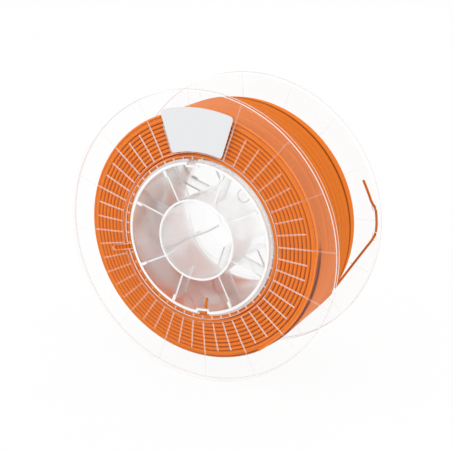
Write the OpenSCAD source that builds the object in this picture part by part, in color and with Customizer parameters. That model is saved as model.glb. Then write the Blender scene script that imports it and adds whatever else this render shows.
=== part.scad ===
// Filament spool: two clear plastic halves that meet at the middle of the drum,
// a wound strand of 1.75 mm filament, and a label on the front flange.
// The spool's axis is Y. The front flange faces -Y, the rear flange faces +Y,
// +Z is up, and the origin is the centre of the hub bore.

/* [Spool] */
// Outer diameter of both flanges
spool_d = 200; // [190:1:240]
// Width over both rims
spool_w = 82; // [70:1:110]
// Diameter of the bore through the hub
bore_d = 53; // [44:0.5:56]
// Wall of the hub tube
hub_wall = 1.6; // [1.2:0.1:3]
// Outer diameter of the drum that the filament is wound on
drum_d = 105; // [98:1:112]
// Wall of the drum
drum_wall = 1.9; // [1.2:0.1:3]
// How far the drum's edge stands out of the flange's outer face
drum_lip = 1; // [0.4:0.1:2]
// Size of the chamfer between the drum and the flange's inner face
drum_chamfer = 1.8; // [0.8:0.1:2.6]

/* [Flanges] */
// Thickness of the flange's disc
disc_t = 1.6; // [1:0.1:2.4]
// Depth of the disc's outer face below the edge of the rim
disc_recess = 3.2; // [2.4:0.1:6]
// Wall of the rim band round each flange
rim_wall = 1.6; // [1:0.1:2.4]
// Width of the rim band along the axis
rim_w = 5; // [4:0.1:9]
// Angle of the first radial rib
rib_phase = 3.5; // [0:0.5:7]
// Number of radial ribs on each flange
rib_count = 48; // [24:8:72]
// One rib in this many runs on to the rim
long_rib_every = 3; // [2:1:4]
// Width of a rib
rib_w = 0.7; // [0.4:0.1:1.2]
// Height of a rib above the disc
rib_h = 0.7; // [0.4:0.1:1.2]
// Diameter at which the short ribs end
short_rib_d = 158; // [140:1:176]
// Gap from the drum to the inner ends of the short rungs round it
rung_start = 1.5; // [1:0.1:2.2]
// Gap from the drum to the raised band that the ribs start from
band_start = 3.6; // [3:0.1:5]
// Radial width of the raised band
band_w = 2.6; // [1.6:0.1:3.4]

/* [Hub spokes] */
// Number of spokes between the hub and the drum in each half
spoke_count = 8; // [4:2:12]
// Thickness of a spoke
spoke_t = 1.2; // [0.8:0.1:2.4]
// Spokes stand in pairs, each moved this far sideways towards its neighbour
spoke_shift = 3; // [0:0.5:4]
// Depth of the spokes' edge below the edge of the rim
spoke_recess = 4; // [3.5:0.5:8]
// Length of a spoke along the axis
spoke_len = 14.5; // [8:0.5:18]
// Thickness of the web disc behind the spokes
web_t = 1.2; // [0.8:0.1:2]
// Radial length of the tab at the outer end of a spoke
tab_len = 4.6; // [3:0.1:8]
// Width of the tab
tab_w = 2; // [1.2:0.1:3]
// Diameter of the round gate mark on the web disc
gate_d = 9.2; // [6:0.2:12]

/* [Catch slots] */
// Width of the catch slot for the first turn, in the front flange
catch_w = 3.7; // [2.4:0.1:5]
// Length of the catch slot outwards from the drum
catch_len = 16; // [10:0.5:20]
// Width of the two notches in the drum's front edge
notch_w = 7.4; // [6:0.1:12]
// Depth of the notches below the drum's front edge
notch_depth = 5; // [5:0.1:8]
// Radial width of the bar that bridges a notch on the drum's inner side
bridge_w = 1.7; // [1:0.1:2.4]
// Width of the two slots that hold the free end, in the rear flange
clip_w = 3; // [2.4:0.1:3.4]
// Length of those slots along the rim
clip_len = 6; // [5:0.1:8]

/* [Filament] */
// Diameter of the filament
filament_d = 1.75; // [1.5:0.05:2]
// Outer diameter of the full winding
winding_d = 171; // [150:1:176]
// Diameter of the lower shoulder beside the rear flange
shoulder_d = 160; // [130:1:164]
// Width of the lower shoulder
shoulder_w = 7; // [4:0.5:12]
// Turns in the outer layer
outer_turns = 24; // [12:1:24]

/* [Label] */
// Gap from the drum to the label's inner edge
label_in_gap = 7; // [6.5:0.5:12]
// Gap from the label's outer edge to the rim band
label_out_gap = 9.9; // [6:0.1:20]
// Angle that the label spans
label_angle = 35.5; // [20:0.5:50]
// Radius of the label's corners
label_corner = 3; // [1:0.5:6]
// Thickness of the label
label_t = 0.3; // [0.2:0.05:0.5]

/* [Hidden] */

clear = [0.9, 0.93, 0.95, 0.35];
orange = [0.91, 0.42, 0.06];
white = [0.96, 0.96, 0.96];

// Clearance between the winding and the plastic that it lies against
winding_gap = 0.3;
// Clearance between the outer layer and the layers below it
layer_gap = 0.1;
// How far one shape runs into another of the same piece
bite = 0.2;

half_w = spool_w / 2;
rim_r = spool_d / 2;
rim_in = rim_r - rim_wall;
disc_out = half_w - disc_recess;
disc_in = disc_out - disc_t;
drum_r = drum_d / 2;
drum_in = drum_r - drum_wall;
hub_r = bore_d / 2 + hub_wall;
rib_pitch = 360 / rib_count;
rung_in = drum_r + rung_start;
band_in = drum_r + band_start;
band_out = band_in + band_w;
drum_edge = disc_out + drum_lip;
spoke_out = half_w - spoke_recess;
spoke_in = spoke_out - spoke_len;
spoke_pitch = 360 / spoke_count;
spoke_phase = rib_phase + spoke_pitch / 2;
gate_r = (hub_r + drum_in) / 2;
gate_angle = spoke_phase + spoke_pitch / 2;
catch_angle = 194;
notch_angles = [-86, 94];
clip_gap = 0.2;
clip_r = rim_in - clip_gap - clip_w / 2;
// Heights of the two slots for the free end above the spool's axis
clip_heights = [-4.9, 16.3];
label_mid = 90;
label_z = disc_out + rib_h;
label_in_r = drum_r + label_in_gap;
label_out_r = rim_in - label_out_gap;
fine = 180;

// ---- shapes that the two halves share, built with the outer side towards +Z ----

// Turns a half built towards +Z so that it faces the front
module to_front() {
    rotate([90, 0, 0]) children();
}

// Turns the same half so that it faces the rear, with its angles seen from the front
module to_rear() {
    mirror([0, 1, 0]) to_front() children();
}

module ring(r_out, r_in, z_low, z_high) {
    translate([0, 0, z_low]) difference() {
        cylinder(h = z_high - z_low, r = r_out, $fn = fine);
        translate([0, 0, -1]) cylinder(h = z_high - z_low + 2, r = r_in, $fn = fine);
    }
}

// A straight bar that lies along a radius, or beside it by a shift
module radial_bar(angle, r_start, r_end, width, z_low, z_high, shift = 0) {
    rotate([0, 0, angle]) translate([r_start, shift - width / 2, z_low])
        cube([r_end - r_start, width, z_high - z_low]);
}

// A slot with round ends through the disc, along a radius or across it
module round_slot(length, width) {
    run = (length - width) / 2;
    translate([0, 0, disc_in - 1]) {
        for (x = [-run, run]) translate([x, 0, 0]) cylinder(h = disc_t + 2, d = width, $fn = 32);
        translate([-run, -width / 2, 0]) cube([2 * run, width, disc_t + 2]);
    }
}

module flange_half() {
    rib_top = disc_out + rib_h;
    ring(rim_r, rim_in, half_w - rim_w, half_w);
    ring(rim_in + bite, drum_r, disc_in, disc_out);
    ring(band_out, band_in, disc_out - bite, rib_top);
    for (i = [0 : rib_count - 1]) {
        angle = rib_phase + i * rib_pitch;
        is_long = i % long_rib_every == 0;
        radial_bar(angle, band_out - bite, is_long ? rim_in + bite : short_rib_d / 2, rib_w,
                   disc_out - bite, rib_top);
        radial_bar(angle, rung_in, band_in + bite, rib_w, disc_out - bite, rib_top);
    }
}

// The drum's wall, with the chamfer that meets the flange's inner face
module drum_half() {
    ring(drum_r, drum_in, 0, drum_edge);
    rotate_extrude($fn = fine)
        polygon([[drum_r - bite, disc_in], [drum_r + drum_chamfer, disc_in],
                 [drum_r, disc_in - drum_chamfer], [drum_r - bite, disc_in - drum_chamfer]]);
}

module hub_half() {
    ring(hub_r, bore_d / 2, 0, half_w);
}

// The part of a shape that lies between the hub and the drum
module between_hub_and_drum(z_low, z_high) {
    intersection() {
        children();
        ring(drum_in, hub_r, z_low, z_high);
    }
}

// The side to which a spoke is moved: each pair closes up round the middle between them
function spoke_side(i) = i % 2 == 0 ? spoke_shift : -spoke_shift;

module spokes_half() {
    between_hub_and_drum(spoke_in, spoke_out)
        for (i = [0 : spoke_count - 1])
            radial_bar(spoke_phase + i * spoke_pitch, hub_r - 2, drum_in + 2, spoke_t,
                       spoke_in - 1, spoke_out + 1, spoke_side(i));
}

module tabs_half() {
    between_hub_and_drum(spoke_out, drum_edge)
        for (i = [0 : spoke_count - 1])
            radial_bar(spoke_phase + i * spoke_pitch, drum_in - tab_len, drum_in + 2, tab_w,
                       spoke_out - 1, drum_edge + 1, spoke_side(i));
}

module web_half() {
    ring(drum_in, hub_r, spoke_in - web_t, spoke_in);
}

// ---- front half ----

module front_flange() {
    color(clear) to_front() difference() {
        flange_half();
        rotate([0, 0, catch_angle]) translate([drum_r + catch_len / 2, 0, 0])
            round_slot(catch_len + catch_w, catch_w);
    }
}

// The drum's front edge has two notches. A bar bridges each on the inner side, just below
// the edge, and the strand's start comes in below the bar
module front_drum_shell() {
    bridge_top = drum_edge - 0.1;
    bridge_t = 1.3;
    bridge_seat = 1.2;
    color(clear) to_front() {
        difference() {
            drum_half();
            for (angle = notch_angles)
                radial_bar(angle, drum_in - 2, drum_r + drum_chamfer + 1, notch_w,
                           drum_edge - notch_depth, half_w);
        }
        for (angle = notch_angles)
            radial_bar(angle, drum_in - bridge_w, drum_in + bite, notch_w + 2 * bridge_seat,
                       bridge_top - bridge_t, bridge_top);
    }
}

module front_hub_tube() {
    color(clear) to_front() hub_half();
}

module front_spokes() {
    color(clear) to_front() spokes_half();
}

module front_snap_tabs() {
    color(clear) to_front() tabs_half();
}

// The gate mark is the small raised ring where the plastic entered the mould
module front_web_disc() {
    gate_h = 0.4;
    gate_line = 0.6;
    color(clear) to_front() {
        web_half();
        rotate([0, 0, gate_angle]) translate([gate_r, 0, 0])
            ring(gate_d / 2, gate_d / 2 - gate_line, spoke_in - bite, spoke_in + gate_h);
    }
}

// ---- rear half ----

module rear_flange() {
    color(clear) to_rear() difference() {
        flange_half();
        for (height = clip_heights)
            rotate([0, 0, asin(height / clip_r)]) translate([clip_r, 0, 0]) rotate([0, 0, 90])
                round_slot(clip_len, clip_w);
    }
}

module rear_drum_shell() {
    color(clear) to_rear() drum_half();
}

module rear_hub_tube() {
    color(clear) to_rear() hub_half();
}

module rear_spokes() {
    color(clear) to_rear() spokes_half();
}

module rear_snap_tabs() {
    color(clear) to_rear() tabs_half();
}

module rear_web_disc() {
    color(clear) to_rear() web_half();
}

// ---- filament ----

outer_r = winding_d / 2 - filament_d / 2;
wind_front = -disc_in + winding_gap;
wind_rear = disc_in - winding_gap;
top_rear = disc_in - shoulder_w;
turn_rings = 24;
tube_sides = 6;
// A tube of flat sides dips below its round path by this much in the middle of a side
turn_dip = outer_r * (1 - cos(180 / turn_rings));
core_r = winding_d / 2 - filament_d - turn_dip - layer_gap;

// Every second layer ends against a flange, so each side of the winding has round ridges.
// One ridge, from the groove before it: [share of its width, depth below its tip]
ridge_shape = [[0, 1.3], [0.12, 0.4], [0.3, 0], [0.7, 0], [0.88, 0.4]];
ridge_edge = 0.9;
ridge_pitch = 1.62 * filament_d;

// The ridges of one side, outwards: [radius, distance from the middle of the spool]
function ridges(r_low, r_high, tip) =
    let (count = max(1, round((r_high - r_low) / ridge_pitch)), width = (r_high - r_low) / count)
    concat([for (k = [0 : count - 1], corner = ridge_shape)
                [r_low + (k + corner[0]) * width, tip - corner[1]]],
           [[r_high, tip - ridge_edge]]);

// Everything below the outer layer: a block with ridged sides and a lower shoulder at the
// rear, and with its inner corners cut back for the drum's chamfers
module winding_core() {
    core_in = drum_r + winding_gap;
    front_side = ridges(core_in + drum_chamfer, core_r, -wind_front);
    rear_side = ridges(core_in + drum_chamfer, shoulder_d / 2, wind_rear);
    color(orange) rotate([90, 0, 0]) rotate_extrude($fn = fine)
        polygon(concat(
            [[core_in, drum_chamfer - wind_rear]],
            [for (corner = rear_side) [corner[0], -corner[1]]],
            [[shoulder_d / 2, -top_rear], [core_r, -top_rear]],
            [for (k = [len(front_side) - 1 : -1 : 0]) front_side[k]],
            [[core_in, -wind_front - drum_chamfer]]));
}

function unit(v) = v / norm(v);

// A ring of points round a place on a path, square to the path's direction
function ring_points(place, along, radius, sides) =
    let (side = unit(cross(along, [0, 1, 0])), up = cross(side, unit(along)))
    [for (i = [0 : sides - 1])
        let (a = (i + 0.5) * 360 / sides) place + radius * (cos(a) * side + sin(a) * up)];

// Triangles that join the rings of a tube and close its two ends
function tube_faces(rings, sides) = concat(
    [for (j = [0 : rings - 2], i = [0 : sides - 1])
        [j * sides + i, j * sides + (i + 1) % sides, (j + 1) * sides + i]],
    [for (j = [0 : rings - 2], i = [0 : sides - 1])
        [j * sides + (i + 1) % sides, (j + 1) * sides + (i + 1) % sides, (j + 1) * sides + i]],
    [for (i = [1 : sides - 2]) [0, i + 1, i]],
    [for (i = [1 : sides - 2])
        [(rings - 1) * sides, (rings - 1) * sides + i, (rings - 1) * sides + i + 1]]);

module tube(places, directions, diameter, sides) {
    polyhedron(points = [for (k = [0 : len(places) - 1])
                   each ring_points(places[k], directions[k], diameter / 2, sides)],
               faces = tube_faces(len(places), sides), convexity = 10);
}

// The angle at which the strand leaves the winding for the rear flange
leave_angle = -32.5;
outer_from = wind_front + filament_d / 2;
outer_to = top_rear - filament_d / 2 - layer_gap;
outer_steps = outer_turns * turn_rings;
rise = (outer_to - outer_from) / outer_turns / 360;

function turn_place(step) =
    let (a = leave_angle + (step - outer_steps) * 360 / turn_rings)
    [outer_r * cos(a), outer_from + (outer_to - outer_from) * step / outer_steps,
     outer_r * sin(a)];
function turn_direction(step) =
    let (a = leave_angle + (step - outer_steps) * 360 / turn_rings)
    unit([-sin(a), rise * 180 / PI / outer_r, cos(a)]);

// The turns, with a straight run of one diameter at each end
outer_places = concat(
    [turn_place(0) - filament_d * turn_direction(0)],
    [for (k = [0 : outer_steps]) turn_place(k)],
    [turn_place(outer_steps) + filament_d * turn_direction(outer_steps)]);
outer_directions = concat(
    [turn_direction(0)],
    [for (k = [0 : outer_steps]) turn_direction(k)],
    [turn_direction(outer_steps)]);

// The least gap between one turn and the next, on the points of their rings
turn_gap = min([for (k = [1 : turn_rings / 4 : outer_steps - turn_rings])
    let (near = ring_points(outer_places[k], outer_directions[k], filament_d / 2, tube_sides),
         far = ring_points(outer_places[k + turn_rings], outer_directions[k + turn_rings],
                           filament_d / 2, tube_sides))
    min([for (a = near, b = far) norm(a - b)])]);

module winding_outer_layer() {
    echo(str("least gap between turns of the outer layer: ", turn_gap, " mm"));
    color(orange) tube(outer_places, outer_directions, filament_d, tube_sides);
}

// Directions along a route of points, each taken across its two neighbours
function route_directions(route) = [for (k = [0 : len(route) - 1])
    unit(route[min(k + 1, len(route) - 1)] - route[max(k - 1, 0)])];

// The first few millimetres of the strand, bent in through the notch of the drum:
// [across, depth below the disc's outer face, height above the drum's lowest line]
start_steps = [[4.4, 2.8, 0], [4.4, 2.7, 2], [4.6, 2.2, 4.9], [5.2, 1.6, 8.2], [6.2, 1.2, 10.9]];
start_route = [for (s = start_steps) [s[0], s[1] - disc_out, s[2] - drum_r]];

module filament_start_end() {
    color(orange) tube(start_route, route_directions(start_route), filament_d, 8);
}

// The free end runs straight from the last turn towards the first slot and climbs to
// the rear flange on the way: [share of the run, share of the climb]
run_shares = [[0, 0.01], [0.04, 0.03], [0.185, 0.095], [0.331, 0.21], [0.478, 0.34],
              [0.624, 0.49], [0.77, 0.655], [0.893, 0.8], [1, 1]];
// It goes out through that slot, along the flange, in through the other slot and a short
// way on: [from the slots' radius, from the disc's outer face, height above the axis]
slot_steps = [[-1.7, -3.5, -8.3], [-0.7, -2.2, -6.2], [-0.1, -0.7, -4.4], [0.1, 0.6, -2.4],
              [0.2, 1.1, 0.4], [0.2, 1.2, 4], [-0.1, 1.2, 8], [-0.5, 1.1, 11.6],
              [-0.9, 0.4, 14.4], [-1.4, -0.9, 16.4], [-1.9, -2.4, 18.2], [-2.7, -3.8, 20.8],
              [-3.9, -4.9, 25], [-5.8, -5.6, 30], [-8, -6, 35]];
slot_route = [for (s = slot_steps) [clip_r + s[0], disc_out + s[1], s[2]]];
// The run starts just past the straight end of the outer layer
run_from = turn_place(outer_steps) + (filament_d + layer_gap) * turn_direction(outer_steps);
run_to = slot_route[0];
run_route = [for (s = run_shares)
    [run_from[0] + (run_to[0] - run_from[0]) * s[0], outer_to + (run_to[1] - outer_to) * s[1],
     run_from[2] + (run_to[2] - run_from[2]) * s[0]]];
tail_route = concat(run_route, [for (k = [1 : len(slot_route) - 1]) slot_route[k]]);

module filament_tail() {
    color(orange) tube(tail_route, route_directions(tail_route), filament_d, 8);
}

// ---- label ----

// A sector of a ring with rounded corners, stuck on top of the ribs
module label() {
    color(white) to_front() translate([0, 0, label_z]) linear_extrude(label_t)
        offset(r = label_corner, $fn = 32) offset(delta = -label_corner)
            intersection() {
                difference() {
                    circle(r = label_out_r, $fn = fine);
                    circle(r = label_in_r, $fn = fine);
                }
                polygon([[0, 0], for (a = [-1, -0.5, 0, 0.5, 1])
                    let (angle = label_mid + a * label_angle / 2)
                    spool_d * [cos(angle), sin(angle)]]);
            }
}

front_flange();
front_drum_shell();
front_hub_tube();
front_spokes();
front_snap_tabs();
front_web_disc();
rear_flange();
rear_drum_shell();
rear_hub_tube();
rear_spokes();
rear_snap_tabs();
rear_web_disc();
winding_core();
winding_outer_layer();
filament_start_end();
filament_tail();
label();
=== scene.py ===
# A full spool of filament: two clear plastic halves snapped together, one wound strand, one label.
# Metres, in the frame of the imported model: the axle lies along Y, the front flange faces -Y.
import math
import random

import bpy
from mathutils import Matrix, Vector


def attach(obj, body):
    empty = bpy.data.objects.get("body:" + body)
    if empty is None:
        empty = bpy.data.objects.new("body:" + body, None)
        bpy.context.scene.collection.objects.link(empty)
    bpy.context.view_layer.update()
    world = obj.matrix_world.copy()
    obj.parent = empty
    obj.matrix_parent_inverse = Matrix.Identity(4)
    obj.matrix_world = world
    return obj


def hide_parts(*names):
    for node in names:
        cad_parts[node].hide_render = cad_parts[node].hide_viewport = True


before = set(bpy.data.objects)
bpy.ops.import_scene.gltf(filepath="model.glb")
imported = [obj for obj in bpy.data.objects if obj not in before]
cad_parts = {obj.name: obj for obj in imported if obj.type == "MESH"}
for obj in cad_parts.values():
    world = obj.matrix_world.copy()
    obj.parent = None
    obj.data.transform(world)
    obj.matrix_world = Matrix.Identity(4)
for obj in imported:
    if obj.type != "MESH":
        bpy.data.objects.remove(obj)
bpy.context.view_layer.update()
MM = 0.001


# ---- Camera, light and floor ----
# A long lens looks down at the spool from its front right. Two soft boxes and a white room light
# it, and it stands on a plain white floor.
camera = bpy.data.objects.new("camera", bpy.data.cameras.new("camera"))
bpy.context.collection.objects.link(camera)
camera.data.sensor_width = 36
camera.data.lens = 81.39
camera.data.clip_start = 0.05
camera.location = (0.31528, -0.59798, 0.21403)
camera.rotation_euler = Vector((-0.44300, 0.84350, -0.30374)).to_track_quat("-Z", "Y").to_euler()
bpy.context.scene.camera = camera
bpy.context.scene.view_settings.view_transform = "Standard"


class Signal:
    """A socket that can be used in sums: each operator adds a Math node."""

    def __init__(self, tree, socket):
        self.tree, self.socket = tree, socket

    def worked(self, operation, other):
        node = self.tree.nodes.new("ShaderNodeMath")
        node.operation = operation
        plug(self.tree, node.inputs[0], self)
        plug(self.tree, node.inputs[1], other)
        return Signal(self.tree, node.outputs[0])

    def __add__(self, other):
        return self.worked("ADD", other)

    def __mul__(self, other):
        return self.worked("MULTIPLY", other)

    def __pow__(self, other):
        return self.worked("POWER", other)

    def __gt__(self, other):
        return self.worked("GREATER_THAN", other)

    __radd__ = __add__
    __rmul__ = __mul__


def plug(tree, socket, value):
    if isinstance(value, Signal):
        tree.links.new(value.socket, socket)
    else:
        socket.default_value = value


class Finish:
    """The nodes of a material, or of the world, added one at a time."""

    def __init__(self, name, tree=None):
        self.made = None
        if tree is None:
            self.made = bpy.data.materials.new(name)
            self.made.use_nodes = True
            tree = self.made.node_tree
        self.tree = tree
        tree.nodes.clear()

    def add(self, kind, settings=None, out=0, **inputs):
        """Adds a node. Inputs are named with _ for a space, or i0, i1 and so on by their order."""
        node = self.tree.nodes.new("ShaderNode" + kind)
        for name, value in (settings or {}).items():
            setattr(node, name, value)
        for name, value in inputs.items():
            by_order = name[0] == "i" and name[1:].isdigit()
            key = int(name[1:]) if by_order else name.replace("_", " ")
            plug(self.tree, node.inputs[key], value)
        return Signal(self.tree, node.outputs[out])

    def done(self, surface, end="OutputMaterial"):
        output = self.tree.nodes.new("ShaderNode" + end)
        self.tree.links.new(surface.socket, output.inputs["Surface"])
        return self.made


WHITE = (1, 1, 1, 1)
world = bpy.data.worlds.new("white room")
bpy.context.scene.world = world
world.use_nodes = True
room = Finish("white room", world.node_tree)
room.done(room.add("Background", Color=WHITE, Strength=1.0), "OutputWorld")


def soft_box(name, place, width, power):
    """A square lamp that points at the spool's middle."""
    lamp = bpy.data.lights.new(name, "AREA")
    lamp.shape = "SQUARE"
    lamp.size = width
    lamp.energy = power
    holder = bpy.data.objects.new(name, lamp)
    bpy.context.collection.objects.link(holder)
    holder.location = place
    holder.rotation_euler = (-Vector(place)).to_track_quat("-Z", "Y").to_euler()


soft_box("key light", (-0.5, -0.9, 1.3), 0.9, 3)
soft_box("side light", (1.4, -0.5, 0.7), 0.9, 1)


def seen_directly(finish):
    """1 for what the camera sees, straight or in a gloss or through clear plastic."""
    direct = finish.add("LightPath", out="Is Camera Ray")
    gloss = finish.add("LightPath", out="Is Glossy Ray")
    through = finish.add("LightPath", out="Is Transmission Ray")
    return (direct + gloss + through) > 0.5


FLOOR_Z = -0.1
FLOOR_SIZE = 8
FLOOR_WHITENESS = 0.94  # the rest takes the spool's shadow
bpy.ops.object.select_all(action="DESELECT")
bpy.ops.mesh.primitive_plane_add(size=FLOOR_SIZE, location=(0, 0, FLOOR_Z))
floor = bpy.context.object
floor.name = "floor"
sheet = Finish("white floor")
shaded = sheet.add("BsdfDiffuse", Color=(0.92, 0.92, 0.92, 1))
bright = sheet.add("Emission", Color=WHITE, Strength=1.0)
floor.data.materials.append(sheet.done(
    sheet.add("MixShader", Fac=seen_directly(sheet) * FLOOR_WHITENESS, i1=shaded, i2=bright)))


# ---- Free end of the strand ----
# The last few centimetres of the strand, which leave the winding, pass out through one slot of
# the rear flange and in through the next, and end in a plain cut.
STRAND = 1.75 * MM
FREE_END = [(72.366, 28.2857, -43.9087), (73.2714, 28.4072, -42.4844),
            (76.5533, 28.8021, -37.3211), (79.8578, 29.5007, -32.1222),
            (83.185, 30.2905, -26.8878), (86.4896, 31.2017, -21.6889),
            (89.7942, 32.2041, -16.49), (92.5782, 33.085, -12.1101), (95, 34.3, -8.3),
            (96, 35.6, -6.2), (96.6, 37.1, -4.4), (96.8, 38.4, -2.4), (96.9, 38.9, 0.4),
            (96.9, 39, 4), (96.6, 39, 8), (96.2, 38.9, 11.6), (95.8, 38.2, 14.4),
            (95.3, 36.9, 16.4), (94.8, 35.4, 18.2), (94, 34, 20.8), (92.8, 32.9, 25),
            (90.9, 32.2, 30), (88.7, 31.8, 35)]
DEEP_ORANGE = (0.74, 0.175, 0.006)
WARM_ORANGE = (0.80, 0.205, 0.008)
# Painted shade: the dark colour mixed into the strand where shade falls between turns, in the side
# grooves and along the free end.
PAINTED_SHADE_COLOUR = (0.36, 0.060, 0.003, 1)


def strand_along(name, places, smooth=True, roundness=3):
    """A round strand on one open spline through the places, with closed ends."""
    line = bpy.data.curves.new(name, "CURVE")
    line.dimensions = "3D"
    line.bevel_depth = STRAND / 2
    line.bevel_resolution = roundness
    line.resolution_u = 6
    line.use_fill_caps = True
    spline = line.splines.new("BEZIER" if smooth else "POLY")
    points = spline.bezier_points if smooth else spline.points
    points.add(len(places) - 1)
    for point, place in zip(points, places):
        if smooth:
            point.co = place
            point.handle_left_type = point.handle_right_type = "AUTO"
        else:
            point.co = (*place, 1)
    piece = bpy.data.objects.new(name, line)
    bpy.context.collection.objects.link(piece)
    return piece


def noise(finish, place, scale, detail):
    return finish.add("TexNoise", Vector=place, Scale=scale, Detail=detail)


def graded(finish, value, low, high, at_low, at_high):
    """Runs from at_low to at_high as the value goes from low to high, and stays level outside."""
    return finish.add("MapRange", i0=value, i1=low, i2=high, i3=at_low, i4=at_high)


def mixed(finish, share, first, second):
    """The first colour where the share is 0, the second where it is 1."""
    return finish.add("Mix", {"data_type": "RGBA"}, out=2, i0=share, i6=first, i7=second)


def scaled(finish, place, by):
    return finish.add("VectorMath", {"operation": "MULTIPLY"}, i0=place, i1=by)


def from_axle(finish, place):
    """Distance from the axle in millimetres."""
    across = scaled(finish, place, (1 / MM, 0, 1 / MM))
    return finish.add("VectorMath", {"operation": "LENGTH"}, out=1, i0=across)


def from_middle(finish, place):
    """Distance from the spool's middle plane in millimetres."""
    along = scaled(finish, place, (0, 1 / MM, 0))
    return finish.add("VectorMath", {"operation": "LENGTH"}, out=1, i0=along)


def orange_filament(name, painted_shading=None, light=1.0):
    """Satin extruded plastic, slightly cloudy, with painted shade, and on the innermost turns
    painted light, added to the colour in places when a painting function is given. light brightens
    this copy's whole colour as painted light.
    """
    finish = Finish(name)
    place = finish.add("TexCoord", out="Object")
    cloud = noise(finish, place, 60, 3)
    fine = noise(finish, place, 900, 2)
    colour = mixed(finish, cloud, [part * light for part in DEEP_ORANGE] + [1],
                   [part * light for part in WARM_ORANGE] + [1])
    if painted_shading:
        colour = painted_shading(finish, place, colour)
    bump = finish.add("Bump", Strength=0.12, Distance=0.0001, Height=fine)
    return finish.done(finish.add(
        "BsdfPrincipled", Base_Color=colour, Roughness=cloud * 0.1 + 0.38, Normal=bump,
        Specular_IOR_Level=0.15))


def end_painted_shade(finish, place, colour):
    """Painted shade: a little deeper, towards the shade colour, where the strand stands off from
    the winding.
    """
    low = graded(finish, from_axle(finish, place), 85.5, 87.5, 0.0, 0.45)
    return mixed(finish, low, colour, PAINTED_SHADE_COLOUR)


free_end = strand_along("filament_free_end", [Vector(p) * MM for p in FREE_END])
# The free end gets painted shade where it stands off from the winding.
free_end.data.materials.append(orange_filament("orange filament end", end_painted_shade))
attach(free_end, "root")
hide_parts("filament_tail")


# ---- Start end of the strand ----
# Its first centimetre, bent in through a notch at the bottom of the drum when winding began.
# It ends in a plain cut, as the free end does.
START_END = [(4.4, -35, -52.5), (4.4, -35.1, -50.5), (4.6, -35.6, -47.6), (5.2, -36.2, -44.3),
             (6.2, -36.6, -41.6)]
MERGE = 2e-6  # points closer than this become one


def choose(piece):
    """Makes a piece the only one selected, and the active one."""
    bpy.ops.object.select_all(action="DESELECT")
    piece.select_set(True)
    bpy.context.view_layer.objects.active = piece


def make_solid(strand):
    """Turns a drawn strand into a mesh and welds its ends shut."""
    choose(strand)
    bpy.ops.object.convert(target="MESH")
    bpy.ops.object.mode_set(mode="EDIT")
    bpy.ops.mesh.select_all(action="SELECT")
    bpy.ops.mesh.remove_doubles(threshold=MERGE)
    bpy.ops.object.mode_set(mode="OBJECT")
    bpy.ops.object.shade_smooth_by_angle(angle=math.radians(50))


start_end = strand_along("filament_start", [Vector(p) * MM for p in START_END])
make_solid(start_end)
start_end.data.materials.append(orange_filament("orange filament"))
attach(start_end, "root")
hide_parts("filament_start_end")


# ---- Outermost turns ----
# The last layer of the winding: one strand laid turn against turn from the front flange to the
# rear. Its last turn stands off from the others and runs on to the free end.
OUTER_TURN_R = 84.625
TURN_STEP = 3  # degrees between two points of a turn
LEAVE_ANGLE = -32.5
FRONT_TURN_Y = -35.0
LAST_CLOSE_TURN_Y = 19.3
TURN_PITCH = 1.757
LAST_TURN_Y = 21.5
LAST_TURN_DRIFT = 0.4
REAR_TURN_Y = 28.2857
# Degrees before the strand leaves, at which the last turn leaves the close ones, has left them,
# and sets off for the rear.
PARTS_AT, PARTED_AT, SETS_OFF_AT = 420, 345, 230
DIP = 1.4  # how far the first turn sinks where the layer below is loose
DIP_FROM, DIP_TO, DIP_EASE = -62, 8, 14
DIP_Y, DIP_Y_EASE = -29.5, 0.8


def eased(share):
    """0 to 1 with a soft start and a soft stop."""
    share = min(max(share, 0), 1)
    return share * share * (3 - 2 * share)


def turn_place(before_end):
    """The strand's middle, this many degrees before it leaves the winding."""
    if before_end > PARTED_AT:
        depth = LAST_CLOSE_TURN_Y - TURN_PITCH * max(before_end - PARTS_AT, 0) / 360
        parted = eased((PARTS_AT - before_end) / (PARTS_AT - PARTED_AT))
        depth += (LAST_TURN_Y - LAST_CLOSE_TURN_Y) * parted
    else:
        drift = eased((PARTED_AT - before_end) / (PARTED_AT - SETS_OFF_AT))
        depth = LAST_TURN_Y + LAST_TURN_DRIFT * drift
        if before_end < SETS_OFF_AT:
            depth += (REAR_TURN_Y - depth) * (1 - before_end / SETS_OFF_AT) ** 2
    angle = (LEAVE_ANGLE - before_end + 180) % 360 - 180
    sunk = (eased((angle - DIP_FROM) / DIP_EASE) * eased((DIP_TO - angle) / DIP_EASE)
            * eased((DIP_Y - depth) / DIP_Y_EASE))
    radius = OUTER_TURN_R - DIP * sunk
    angle = math.radians(angle)
    return Vector((radius * math.cos(angle), depth, radius * math.sin(angle))) * MM


def turn_painted_shade(finish, place, colour):
    """Painted shade: deeper colour low between the turns, and in fine streaks from turn to turn."""
    low = graded(finish, from_axle(finish, place), 84.8, 85.45, 1.0, 0.0)
    low = low * graded(finish, from_middle(finish, place), 33.9, 34.3, 1.0, 0.0)
    streak = noise(finish, scaled(finish, place, (0, 1, 0)), 350, 2)
    colour = mixed(finish, graded(finish, streak, 0.45, 0.65, 0.0, 0.4), colour, PAINTED_SHADE_COLOUR)
    return mixed(finish, low, colour, PAINTED_SHADE_COLOUR)


whole_turns = PARTS_AT + 360 * (LAST_CLOSE_TURN_Y - FRONT_TURN_Y) / TURN_PITCH
turn_places = [turn_place(whole_turns - TURN_STEP * k)
               for k in range(int(whole_turns / TURN_STEP) + 1)]
outer_turns = strand_along("filament_outer_turns", turn_places, smooth=False, roundness=2)
make_solid(outer_turns)
# Painted light: this copy's colour is brightened 1.22 times.
outer_turns.data.materials.append(
    orange_filament("orange filament turns", turn_painted_shade, light=1.22))
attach(outer_turns, "root")
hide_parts("winding_outer_layer")


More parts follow.
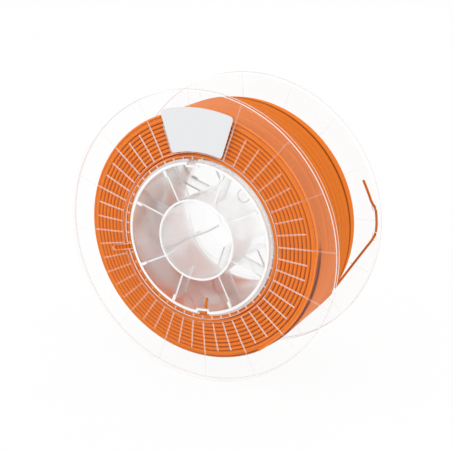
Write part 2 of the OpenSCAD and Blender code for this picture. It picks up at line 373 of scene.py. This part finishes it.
# ---- Layers below ----
# All the turns under the last layer. Every second layer ends against a flange, so the sides of
# the winding show round ridges with deep grooves between them.
SIDE_TIP = 35.85  # where the side ridges end, from the middle plane
SIDE_FOOT_R = 54.6
SIDE_RIDGES = 10
SIDE_RIDGE_PITCH, SIDE_RIDGE_HALF = 2.833, 1.15
SIDE_GROOVE_AT, SIDE_GROOVE_DEPTH, LAST_GROOVE_DEPTH = 1.417, 2.3, 0.9
REAR_RIDGES_END_R = 79
INNER_TURNS = 38
INNER_TURN_R, INNER_TURN_BACK_R = 53.4, 52.95
# Painted light: pale oranges, brighter than the filament, for the innermost turns seen through the
# drum. The deeper one also gives them painted shade towards the bottom.
PAINTED_LIGHT_ORANGE = (1.0, 0.52, 0.36, 1)
PAINTED_LIGHT_DEEP_ORANGE = (1.0, 0.21, 0.04, 1)


def draw_outline(name, corners):
    """Draws a closed outline by extruding a point from corner to corner. Stays in edit mode."""
    bpy.ops.object.select_all(action="DESELECT")
    bpy.ops.mesh.primitive_plane_add(size=MM, location=corners[0])
    piece = bpy.context.object
    piece.name = name
    bpy.ops.object.transform_apply(location=True, rotation=True, scale=True)
    bpy.ops.object.mode_set(mode="EDIT")
    bpy.ops.mesh.select_mode(type="VERT")
    bpy.ops.mesh.select_all(action="SELECT")
    bpy.ops.mesh.merge(type="CENTER")
    for here, there in zip(corners, corners[1:] + corners[:1]):
        step = Vector(there) - Vector(here)
        bpy.ops.mesh.extrude_region_move(TRANSFORM_OT_translate={"value": step})
    bpy.ops.mesh.select_all(action="SELECT")
    bpy.ops.mesh.remove_doubles(threshold=MERGE)
    return piece


def turned(name, corners, steps=144):
    """A closed ring: an outline of (radius, depth) in millimetres, spun about the axle."""
    piece = draw_outline(name, [(r * MM, y * MM, 0) for r, y in corners])
    bpy.ops.mesh.select_all(action="SELECT")
    bpy.ops.mesh.spin(steps=steps, angle=math.tau, center=(0, 0, 0), axis=(0, 1, 0))
    bpy.ops.mesh.select_all(action="SELECT")
    bpy.ops.mesh.remove_doubles(threshold=MERGE)
    bpy.ops.mesh.normals_make_consistent(inside=False)
    bpy.ops.object.mode_set(mode="OBJECT")
    return piece


def ridge(middle, half, tip, groove, inward):
    """One turn seen end on, as (along, out): its round back, and a groove (along, in) after it."""
    corners = []
    for share in (-0.9, -0.62, -0.3, 0, 0.3, 0.62, 0.9):
        fall = half * (1 - math.sqrt(1 - share ** 2))
        corners.append((middle + share * half, tip + inward * fall))
    corners.append((middle + groove[0], tip + inward * groove[1]))
    return corners


chance = random.Random(11)
front_side, rear_side = [], []
for k in range(SIDE_RIDGES):
    ridge_r = SIDE_FOOT_R + (k + 0.5) * SIDE_RIDGE_PITCH
    wobble = chance.uniform(-0.1, 0.1)
    groove_depth = SIDE_GROOVE_DEPTH if k < SIDE_RIDGES - 1 else LAST_GROOVE_DEPTH
    front_side += ridge(ridge_r + wobble, SIDE_RIDGE_HALF, -SIDE_TIP,
                        (SIDE_GROOVE_AT - wobble, groove_depth), 1)
    if ridge_r < REAR_RIDGES_END_R:
        rear_side += ridge(ridge_r - wobble, SIDE_RIDGE_HALF, SIDE_TIP,
                           (SIDE_GROOVE_AT + wobble, SIDE_GROOVE_DEPTH), -1)
under_turns = [(83.4, -35.45), (83.65, -35.0), (83.6, -34.2), (82.1, -33.6), (82.1, 20.4)]
rear_turns = []
for k in range(6):
    rear_turns += [(r, y) for y, r in ridge(21.4 + 1.78 * k, 0.86, 83.98, (0.89, 0.8), -1)]
steps_down = [(82.5, 32.4), (82.5, 33.3), (82.0, 33.6), (81.0, 33.9), (81.0, 34.8), (80.4, 35.1)]
inner_turns = []
for k in range(INNER_TURNS):
    depth = 33.2 - 1.75 * k
    inner_turns += [(INNER_TURN_R, depth + 0.87), (INNER_TURN_BACK_R, depth + 0.4),
                    (INNER_TURN_BACK_R, depth - 0.4)]
wound_layers = turned(
    "filament_wound_layers",
    front_side + under_turns + rear_turns + steps_down + rear_side[::-1]
    + [(SIDE_FOOT_R, 35.2), (INNER_TURN_R, 34.4)] + inner_turns
    + [(INNER_TURN_R, -33.0), (SIDE_FOOT_R, -35.2)],
    steps=120)
bpy.ops.object.shade_smooth()


def cloudy(finish, place):
    """Soft patches a few centimetres wide."""
    return noise(finish, place, 22, 1)


def lower_down(finish, place, above, below):
    """Goes from one value at the axle's height to another at the foot of the drum."""
    height = finish.add("SeparateXYZ", out="Z", Vector=place)
    return graded(finish, height, 0.01, -0.045, above, below)


def side_painted_shade_and_light(finish, place, colour):
    """Painted shade in the side grooves, and painted light on the innermost turns where only the
    drum shows them, deeper in patches and towards the bottom.
    """
    radius = from_axle(finish, place)
    low = graded(finish, from_middle(finish, place), 34.3, 35.3, 0.85, 0.0)
    low = low * (radius > 54.2) * graded(finish, radius, 82.0, 82.3, 1.0, 0.0)
    colour = mixed(finish, low, colour, PAINTED_SHADE_COLOUR)
    # Painted light on the innermost turns, deeper in patches, and deeper towards the bottom as
    # painted shade.
    deep = graded(finish, cloudy(finish, place), 0.44, 0.56, 0.0, 0.5)
    deep = deep + lower_down(finish, place, 0.0, 0.5)
    pale = mixed(finish, deep, PAINTED_LIGHT_ORANGE, PAINTED_LIGHT_DEEP_ORANGE)
    return mixed(finish, radius > 53.6, pale, colour)


# Painted light: this copy's colour is brightened 1.14 times.
wound_layers.data.materials.append(
    orange_filament("orange filament sides", side_painted_shade_and_light, light=1.14))
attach(wound_layers, "root")
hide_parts("winding_core")


# ---- Flanges ----
# Each flange is a clear disc moulded with a rim band, a raised ring, and radial ribs that stiffen
# it, every third of which reaches the rim. The edges of ribs and rim are partly painted white, as
# painted glints of the light that clear edges gather.
DISC_OUT, DISC_IN = 37.8, 36.2
RIM_IN_R, RIM_OUT_R = 98.4, 100
DRUM_IN, DRUM_OUT = 50.6, 52.5
FOOT_R = 54  # outer edge of the foot that carries the drum
RING_IN_R, RING_OUT_R = 56.1, 58.7
SHORT_RIB_END_R = 79
RIB_COUNT, RIB_TOP, RIB_WIDTH = 48, 0.7, 0.7
RIB_PHASE, RIB_PITCH = 3.5, 7.5
HAIR = 0.03  # keeps clear pieces from sharing a face
CUT_LENGTH = 8
CATCH_SLOT = (60.5, 194)  # radius and angle
CLIP_SLOTS = [(96.7, -2.905), (96.7, 9.704)]


def facing(finish):
    """0 where a surface is seen square on, 1 where it is seen edge on."""
    return finish.add("LayerWeight", out="Facing", Blend=0.5)


def clear_styrene(name, haze=0.002, rim_haze=0.0, gloss=0.008, thin=True, askew=0.95,
                  patchy=False):
    """Polished clear plastic: see-through square on, glossy edge on, with a breath of haze."""
    finish = Finish(name)
    place = finish.add("TexCoord", out="Object")
    cloud = noise(finish, place, 25, 2)
    mirror = facing(finish) ** 5 * askew
    if patchy:
        shifted = finish.add("VectorMath", {"operation": "ADD"}, i0=place, i1=(0.7, 0.4, 0.9))
        patch = cloudy(finish, shifted)
        mirror = mirror + graded(finish, patch, 0.44, 0.56, gloss * 0.35, gloss * 1.25)
        mirror = mirror * lower_down(finish, place, 1.0, 0.6)
    else:
        mirror = mirror + gloss
    veil = cloud * haze + haze * 0.5
    if rim_haze:
        veil = veil + graded(finish, from_axle(finish, place), 83.0, 87.0, 0.0, rim_haze)
    if thin:
        see_through = finish.add("BsdfTransparent", Color=(0.998, 0.998, 0.998, 1))
    else:
        see_through = finish.add("BsdfPrincipled", Base_Color=(0.998, 0.998, 0.998, 1),
                                 Roughness=0.0, IOR=1.0, Transmission_Weight=1.0)
    bump = finish.add("Bump", Strength=0.05, Distance=0.001, Height=cloud)
    shine = finish.add("BsdfPrincipled", Base_Color=WHITE, Metallic=1.0, Roughness=0.05,
                       Normal=bump)
    milk = finish.add("BsdfPrincipled", Base_Color=(0.95, 0.95, 0.95, 1), Roughness=0.5,
                      Specular_IOR_Level=0.2)
    glazed = finish.add("MixShader", Fac=mirror, i1=see_through, i2=shine)
    return finish.done(finish.add("MixShader", Fac=veil, i1=glazed, i2=milk))


def lit_edge(name, cover, turned_away=0.0, outwards=0.0):
    """An edge of clear plastic, partly painted white as a painted glint of the light that it
    gathers:
    cover is the share of it that is painted white. outwards is what is left of that share beyond
    the short ribs, and with turned_away it is white only where it is seen further askew than that."""
    finish = Finish(name)
    place = finish.add("TexCoord", out="Object")
    cloud = noise(finish, place, 120, 2)
    see_through = finish.add("BsdfTransparent", Color=(0.98, 0.98, 0.98, 1))
    white = finish.add("BsdfPrincipled", Base_Color=(0.97, 0.97, 0.97, 1), Roughness=0.4,
                       Specular_IOR_Level=0.5)
    share = cloud * 0.1 + (cover - 0.05)
    if outwards:
        share = share * graded(finish, from_axle(finish, place), 79.0, 84.0, 1.0, outwards)
    if turned_away:
        share = graded(finish, facing(finish), turned_away - 0.1, turned_away + 0.1, 0.1, share)
    return finish.done(finish.add("MixShader", Fac=share, i1=see_through, i2=white))


# Painted glints: these finishes paint the flange's rib and ring edges, walls and rim edges partly
# white.
edge_finish = lit_edge("clear lit edge", 0.85, outwards=0.35)
flange_finishes = [
    clear_styrene("clear disc", haze=0.004, rim_haze=0.02),
    edge_finish,
    lit_edge("clear lit wall", 0.9, outwards=0.35),
    clear_styrene("clear rim", askew=0.2),
    lit_edge("clear rim edge", 0.95)]


def wear(piece, finishes):
    """Gives a piece its finishes; its faces have the first of them until others are picked."""
    for finish in finishes:
        piece.data.materials.append(finish)


def radius_of(place):
    return math.hypot(place.x, place.z)


def pick_faces(piece, wanted):
    """Selects the faces whose radius, centre and normal pass the test. Stays in edit mode."""
    if bpy.context.mode != "OBJECT":
        bpy.ops.object.mode_set(mode="OBJECT")
    choose(piece)
    bpy.ops.object.mode_set(mode="EDIT")
    bpy.ops.mesh.select_mode(type="FACE")
    bpy.ops.mesh.select_all(action="DESELECT")
    bpy.ops.object.mode_set(mode="OBJECT")
    for face in piece.data.polygons:
        middle = face.center / MM
        face.select = wanted(radius_of(middle), middle, face.normal)
    bpy.ops.object.mode_set(mode="EDIT")


def gather_light(piece, wanted, index=1):
    """Gives the picked faces another of the piece's finishes."""
    pick_faces(piece, wanted)
    piece.active_material_index = index
    bpy.ops.object.material_slot_assign()
    bpy.ops.object.mode_set(mode="OBJECT")


def raised(place):
    """Whether a place on the disc lies on the ring or on a rib."""
    r = radius_of(place)
    angle = math.degrees(math.atan2(place.z, place.x)) - RIB_PHASE
    number = round(angle / RIB_PITCH)
    aside = r * math.sin(math.radians(angle - number * RIB_PITCH))
    rib_end = RIM_IN_R if number % 3 == 0 else SHORT_RIB_END_R
    return RING_IN_R < r < RING_OUT_R or (abs(aside) < RIB_WIDTH / 2 and FOOT_R < r < rib_end)


def outer_face(r, normal):
    return normal.y < -0.9 and FOOT_R < r < RIM_IN_R


flange = turned("front_flange_clear", [
    (DRUM_OUT + HAIR, -DISC_IN), (RIM_IN_R, -DISC_IN), (98.6, -36.0), (99.3, -36.0),
    (RIM_OUT_R, -36.7), (RIM_OUT_R, -40.65), (99.65, -41), (98.8, -41), (RIM_IN_R, -40.6),
    (RIM_IN_R, -DISC_OUT), (SHORT_RIB_END_R, -DISC_OUT), (RING_OUT_R, -DISC_OUT),
    (RING_IN_R, -DISC_OUT), (FOOT_R, -DISC_OUT), (DRUM_OUT + HAIR, -DISC_OUT)])
pick_faces(flange, lambda r, c, n: outer_face(r, n))
bpy.ops.mesh.hide(unselected=True)
for number in range(RIB_COUNT):
    along = math.radians(RIB_PHASE + number * RIB_PITCH)
    aside = Vector((-math.sin(along), 0, math.cos(along)))
    bpy.ops.mesh.select_all(action="SELECT")
    bpy.ops.mesh.bisect(plane_co=aside * RIB_WIDTH / 2 * MM, plane_no=aside)
bpy.ops.mesh.reveal()
pick_faces(flange, lambda r, c, n: outer_face(r, n) and raised(c))
bpy.ops.mesh.extrude_region_move(TRANSFORM_OT_translate={"value": (0, -RIB_TOP * MM, 0)})
bpy.ops.mesh.region_to_loop()
bpy.ops.mesh.bevel(offset=0.14 * MM, segments=1, affect="EDGES")
bpy.ops.object.mode_set(mode="OBJECT")
wear(flange, flange_finishes)
bpy.ops.object.duplicate()
rear_flange = bpy.context.object
rear_flange.name = "rear_flange_clear"
bpy.ops.object.mode_set(mode="EDIT")
bpy.ops.mesh.select_all(action="SELECT")
bpy.ops.transform.resize(value=(1, -1, 1), center_override=(0, 0, 0))
bpy.ops.mesh.normals_make_consistent(inside=False)
bpy.ops.object.mode_set(mode="OBJECT")


def cut_away(piece, cutter):
    """Takes a cutter's shape out of a piece."""
    knife = piece.modifiers.new("cut", "BOOLEAN")
    knife.operation = "DIFFERENCE"
    knife.object = cutter
    choose(piece)
    bpy.ops.object.modifier_apply(modifier=knife.name)
    bpy.data.objects.remove(cutter)


def cut_slot(piece, middle, length, width, y, along_radius):
    """Cuts a slot with round ends through a flange, along a radius or across it."""
    run = (length - width) / 2 * MM
    bpy.ops.object.select_all(action="DESELECT")
    bpy.ops.mesh.primitive_cylinder_add(vertices=32, radius=width / 2 * MM,
                                        depth=CUT_LENGTH * MM, location=(0, 0, 0))
    cutter = bpy.context.object
    for corner in cutter.data.vertices:
        corner.co.x += run if corner.co.x > 1e-7 else -run if corner.co.x < -1e-7 else 0
    cutter.rotation_euler = (math.pi / 2, 0 if along_radius else -math.pi / 2, 0)
    bpy.ops.object.transform_apply(location=True, rotation=True, scale=True)
    radius, angle = middle[0], math.radians(middle[1])
    cutter.rotation_euler = (0, -angle, 0)
    cutter.location = (radius * math.cos(angle) * MM, y * MM, radius * math.sin(angle) * MM)
    cut_away(piece, cutter)


cut_slot(flange, CATCH_SLOT, 19.7, 3.7, -37, along_radius=True)
for clip_slot in CLIP_SLOTS:
    cut_slot(rear_flange, clip_slot, 6, 3, 37, along_radius=False)
for piece, node in ((flange, "front_flange"), (rear_flange, "rear_flange")):
    gather_light(piece, lambda r, c, n: (
        0.4 < abs(n.y) < 0.95 and DISC_OUT < abs(c.y) < 39 and r < 98.3))
    gather_light(piece, lambda r, c, n: (
        abs(n.y) < 0.4 and 36.3 < abs(c.y) < 39 and 53 < r < 98.3), index=2)
    gather_light(piece, lambda r, c, n: r > 98.3, index=3)
    gather_light(piece, lambda r, c, n: (
        (r > 99.5 and 0.3 < abs(n.y) < 0.95)
        or (94 < r < 98.35 and 36.3 < abs(c.y) < 37.7 and abs(n.y) < 0.4)), index=4)
    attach(piece, "root")
    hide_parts(node)


# ---- Drum ----
# The tube that the filament is wound on, half of it moulded with each flange. A chamfer carries
# it into the flange, and two notches in the front edge let the strand's start in.
DRUM_END, DRUM_ROUND = 38.8, 0.3
CHAMFER_FROM, CHAMFER_OUT_R = 34.4, 54.3
NOTCH_ANGLES = (-86, 94)
# Painted glints: the drum's front edge, chamfer and seat are partly painted white.
drum_edge_finish = lit_edge("clear drum edge", 0.95)
drum_finishes = [
    clear_styrene("clear drum", haze=0.01, gloss=0.3, patchy=True),
    drum_edge_finish,
    lit_edge("clear chamfer", 0.95, turned_away=0.4),
    lit_edge("clear drum seat", 0.7)]


def drum_half(name, side):
    seat = side * (DISC_IN - HAIR)
    shoulder = side * (DRUM_END - DRUM_ROUND)
    return turned(name, [
        (DRUM_IN, side * HAIR), (DRUM_OUT, side * HAIR), (DRUM_OUT, side * CHAMFER_FROM),
        (CHAMFER_OUT_R, seat), (DRUM_OUT, seat), (DRUM_OUT, shoulder),
        (DRUM_OUT - DRUM_ROUND, side * DRUM_END), (DRUM_IN + DRUM_ROUND, side * DRUM_END),
        (DRUM_IN, shoulder)])


def block(name, low, high, angle, round_by=0.0):
    """A bar between two corners given in millimetres, with rounded edges, turned about the axle."""
    middle = [(a + b) / 2 * MM for a, b in zip(low, high)]
    bpy.ops.object.select_all(action="DESELECT")
    bpy.ops.mesh.primitive_cube_add(size=1, location=middle)
    piece = bpy.context.object
    piece.name = name
    piece.scale = [(b - a) * MM for a, b in zip(low, high)]
    bpy.ops.object.transform_apply(location=True, rotation=True, scale=True)
    if round_by:
        bpy.ops.object.mode_set(mode="EDIT")
        bpy.ops.mesh.select_all(action="SELECT")
        bpy.ops.mesh.bevel(offset=round_by * MM, segments=2, affect="EDGES")
        bpy.ops.object.mode_set(mode="OBJECT")
    piece.rotation_euler = (0, -math.radians(angle), 0)
    bpy.ops.object.transform_apply(location=True, rotation=True, scale=True)
    return piece


def joined(name, pieces):
    bpy.ops.object.select_all(action="DESELECT")
    for piece in pieces:
        piece.select_set(True)
    bpy.context.view_layer.objects.active = pieces[0]
    bpy.ops.object.join()
    bpy.context.object.name = name
    return bpy.context.object


front_drum = drum_half("front_drum_clear", -1)
rear_drum = drum_half("rear_drum_clear", 1)
for angle in NOTCH_ANGLES:
    cut_away(front_drum, block("notch", (47, -41, -3.7), (58, -33.8, 3.7), angle))
bridges = [block("bridge", (48.9, -38.7, -4.9), (50.4, -37.4, 4.9), angle, 0.2)
           for angle in NOTCH_ANGLES]
front_drum = joined("front_drum_clear", [front_drum] + bridges)
for piece, node in ((front_drum, "front_drum_shell"), (rear_drum, "rear_drum_shell")):
    wear(piece, drum_finishes)
    if piece is front_drum:
        gather_light(piece, lambda r, c, n: abs(c.y) > 37.3)
    gather_light(piece, lambda r, c, n: 34.4 < abs(c.y) < 36 and r > 52.45, index=2)
    gather_light(piece, lambda r, c, n: 36 < abs(c.y) < 36.5 and r > 52.45, index=3)
    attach(piece, "root")
    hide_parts(node)


# ---- Hub ----
# The inner tube that a spool holder's shaft passes through, again half of it on each side.
# Its outer edge is rounded and stands level with the rim.
HUB_IN, HUB_OUT, HUB_END = 26.5, 28.1, 41
hub_finish = clear_styrene("clear hub", haze=0.01, gloss=0.25, thin=False, patchy=True)
for name, side, node in (("front_hub_clear", -1, "front_hub_tube"),
                         ("rear_hub_clear", 1, "rear_hub_tube")):
    hub = turned(name, [
        (HUB_IN, side * HAIR), (HUB_OUT, side * HAIR), (HUB_OUT, side * 40.6),
        (HUB_OUT - 0.3, side * HUB_END), (HUB_IN + 0.3, side * HUB_END), (HUB_IN, side * 40.6)])
    wear(hub, [hub_finish, drum_edge_finish])
    # The front hub's rounded outer edge is partly painted white as a painted glint.
    if side < 0:
        gather_light(hub, lambda r, c, n: abs(c.y) > 40.3)
    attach(hub, "root")
    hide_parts(node)


# ---- Webs ----
# A thin wall between hub and drum, some way in from each side. The front one has the round mark
# where the plastic entered the mould.
WEB_IN_Y, WEB_OUT_Y = 21.3, 22.5
GATE_R, GATE_ANGLE = 39.35, math.radians(48.5)
web_finish = clear_styrene("clear web", haze=0.005, gloss=0.02, thin=False)
for name, side, node in (("front_web_clear", -1, "front_web_disc"),
                         ("rear_web_clear", 1, "rear_web_disc")):
    web = turned(name, [
        (HUB_OUT + HAIR, side * WEB_IN_Y), (DRUM_IN - HAIR, side * WEB_IN_Y),
        (DRUM_IN - HAIR, side * WEB_OUT_Y), (HUB_OUT + HAIR, side * WEB_OUT_Y)])
    wear(web, [web_finish, edge_finish])
    if side < 0:
        gate = turned("gate", [(4.0, -WEB_OUT_Y), (4.6, -WEB_OUT_Y), (4.5, -22.9), (4.1, -22.9)],
                      steps=32)
        gate.location = (GATE_R * math.cos(GATE_ANGLE) * MM, 0, GATE_R * math.sin(GATE_ANGLE) * MM)
        bpy.ops.object.transform_apply(location=True, rotation=True, scale=True)
        # The gate mark is partly painted white as a painted glint.
        wear(gate, [edge_finish])
        web = joined(name, [web, gate])
    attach(web, "root")
    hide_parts(node)


# ---- Spokes and their tabs ----
# Eight thin clear walls a side, moulded in pairs from hub to drum. A short tab caps the outer
# end of each, level with the drum's edge.
SPOKES = 8
SPOKE_ANGLE, SPOKE_SHIFT = 26, 3  # the first one's angle, and its distance from the radius
SPOKE_HALF, TAB_HALF = 0.6, 1
SPOKE_IN_Y, SPOKE_OUT_Y = 22.55, 37
TAB_IN_R, TAB_OUT_Y = 46, 38.8
spoke_finish = clear_styrene("clear spoke", haze=0.02, gloss=0.25)


def reach(radius, aside):
    """How far along a spoke a circle about the axle lies."""
    return math.sqrt(radius ** 2 - aside ** 2)


for half, side in (("front", -1), ("rear", 1)):
    spokes, tabs = [], []
    for number in range(SPOKES):
        angle = SPOKE_ANGLE + 360 / SPOKES * number
        shift = SPOKE_SHIFT if number % 2 == 0 else -SPOKE_SHIFT
        drum_at = reach(DRUM_IN, shift)
        near, far = sorted((side * SPOKE_IN_Y, side * SPOKE_OUT_Y))
        spokes.append(block(
            "spoke", (reach(HUB_OUT, shift) + 0.2, near, shift - SPOKE_HALF),
            (drum_at - 0.15, far, shift + SPOKE_HALF), angle, 0.15))
        near, far = sorted((side * (SPOKE_OUT_Y + HAIR), side * TAB_OUT_Y))
        tabs.append(block("tab", (TAB_IN_R, near, shift - TAB_HALF),
                          (drum_at - 0.25, far, shift + TAB_HALF), angle, 0.2))
    # The tabs are partly painted white all over, and the spokes' end faces too, as painted glints.
    for name, group, node, finish in (
            (half + "_spokes_clear", spokes, half + "_spokes", spoke_finish),
            (half + "_tabs_clear", tabs, half + "_snap_tabs", drum_edge_finish)):
        group = joined(name, group)
        wear(group, [finish])
        if finish is spoke_finish:
            wear(group, [edge_finish])
            gather_light(group, lambda r, c, n: abs(n.y) > 0.3 and not 22.8 < abs(c.y) < 36.7)
        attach(group, "root")
        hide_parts(node)


# ---- Label ----
# A blank white adhesive label of stout paper, cut as a part of a ring with rounded corners. It
# is stuck on the ribs of the front flange, above the drum.
LABEL_IN_R, LABEL_OUT_R = 59.5, 88.5
LABEL_HALF_ANGLE = 35.5 / 2
LABEL_BACK_Y, LABEL_THICK = -38.5, 0.3
LABEL_CORNER = 2.6
LABEL_STEPS = 24


def ring_place(r, degrees, y):
    angle = math.radians(degrees)
    return (r * math.cos(angle) * MM, y * MM, r * math.sin(angle) * MM)


spread = [90 - LABEL_HALF_ANGLE + 2 * LABEL_HALF_ANGLE * k / LABEL_STEPS
          for k in range(LABEL_STEPS + 1)]
label = draw_outline(
    "blank_label",
    [ring_place(LABEL_IN_R, a, LABEL_BACK_Y) for a in spread]
    + [ring_place(LABEL_OUT_R, a, LABEL_BACK_Y) for a in reversed(spread)])
bpy.ops.mesh.edge_face_add()
bpy.ops.mesh.select_mode(type="VERT")
bpy.ops.mesh.select_all(action="DESELECT")
bpy.ops.object.mode_set(mode="OBJECT")
for corner in label.data.vertices:
    off = abs(math.degrees(math.atan2(corner.co.z, corner.co.x)) - 90)
    corner.select = off > LABEL_HALF_ANGLE - 0.05
bpy.ops.object.mode_set(mode="EDIT")
bpy.ops.mesh.bevel(offset=LABEL_CORNER * MM, segments=6, affect="VERTICES")
bpy.ops.mesh.select_all(action="SELECT")
bpy.ops.mesh.extrude_region_move(TRANSFORM_OT_translate={"value": (0, -LABEL_THICK * MM, 0)})
bpy.ops.mesh.select_all(action="SELECT")
bpy.ops.mesh.normals_make_consistent(inside=False)
bpy.ops.object.mode_set(mode="OBJECT")
paper = Finish("label paper")
place = paper.add("TexCoord", out="Object")
fibre = noise(paper, place, 1500, 3)
tone = mixed(paper, fibre, (0.74, 0.75, 0.77, 1), (0.80, 0.81, 0.82, 1))
bump = paper.add("Bump", Strength=0.1, Distance=0.00005, Height=fibre)
label.data.materials.append(paper.done(
    paper.add("BsdfPrincipled", Base_Color=tone, Roughness=0.45, Normal=bump,
              Specular_IOR_Level=0.3)))
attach(label, "root")
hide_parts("label")
